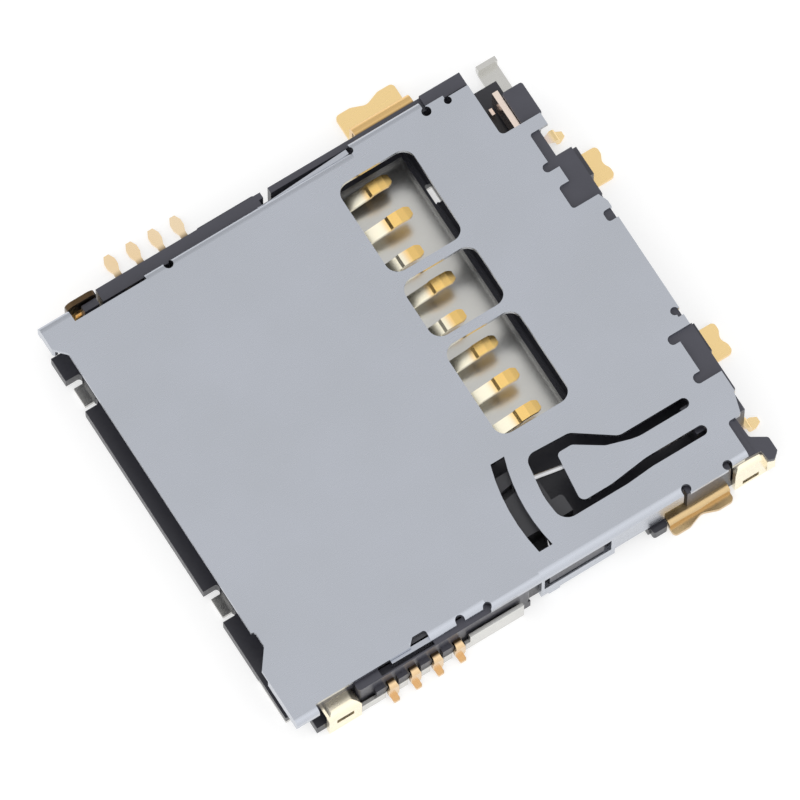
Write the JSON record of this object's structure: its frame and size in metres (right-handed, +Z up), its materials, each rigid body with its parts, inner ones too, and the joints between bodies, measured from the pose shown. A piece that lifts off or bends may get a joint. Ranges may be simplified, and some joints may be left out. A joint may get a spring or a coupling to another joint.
{
  "type": "sim card socket",
  "caption": "Low surface-mount push-push card socket with a stamped steel cover over gold contacts, a sprung cam slider and side solder tabs.",
  "frame": {"origin": "on the circuit board's surface, under the middle of the cover's width and length", "axes": "+Z up from the board, +Y the way the card goes in, +X towards the slider's side"},
  "size_m": [0.0152, 0.0161, 0.0019],
  "materials": {
    "cover_steel": "satin stamped stainless steel with bright cut edges",
    "plate_steel": "satin stamped stainless steel",
    "gold_contact": "gold-plated copper alloy",
    "gold_tab": "gold-flashed copper alloy, satin",
    "switch_metal": "plated copper alloy",
    "spring_steel": "bright drawn steel",
    "housing_plastic": "moulded black liquid-crystal polymer, matte",
    "slider_plastic": "moulded black polymer, matte"
  },
  "bodies": {
    "socket": {"housing": "housing_plastic", "cover": "cover_steel", "bottom_plate": "plate_steel", "contact_1": "gold_contact", "contact_2": "gold_contact", "contact_3": "gold_contact", "contact_4": "gold_contact", "contact_5": "gold_contact", "contact_6": "gold_contact", "contact_7": "gold_contact", "contact_8": "gold_contact", "detect_blade": "switch_metal", "detect_contact": "switch_metal", "solder_tab_left": "gold_tab", "solder_tab_right": "gold_tab", "solder_tab_rear_left": "gold_tab", "solder_tab_rear_right": "gold_tab", "hold_down_front_left": "gold_tab", "hold_down_front_right": "gold_tab", "hold_down_rear_right": "gold_tab", "eject_spring": "spring_steel"},
    "slider_carriage": {"slider": "slider_plastic", "card_latch": "spring_steel"},
    "cam_wire": {"cam_pin": "spring_steel"}
  },
  "joints": [
    {"name": "slider_slide", "type": "slide", "parent": "socket", "child": "slider_carriage", "axis": [0, 1, 0], "range_m": [0, 0.0036], "stiffness_N_per_m": 150, "springref_m": -0.006, "deforming": ["eject_spring"]},
    {"name": "cam_pin_swing", "type": "hinge", "parent": "socket", "child": "cam_wire", "pos_m": [0.00488, 0.00645, 0.00161], "axis": [0, 0, 1], "range_deg": [0, 6.9]}
  ],
  "couplings": [
    {"joint": "cam_pin_swing", "follows": "slider_slide", "rad_per_m": 32.967}
  ]
}
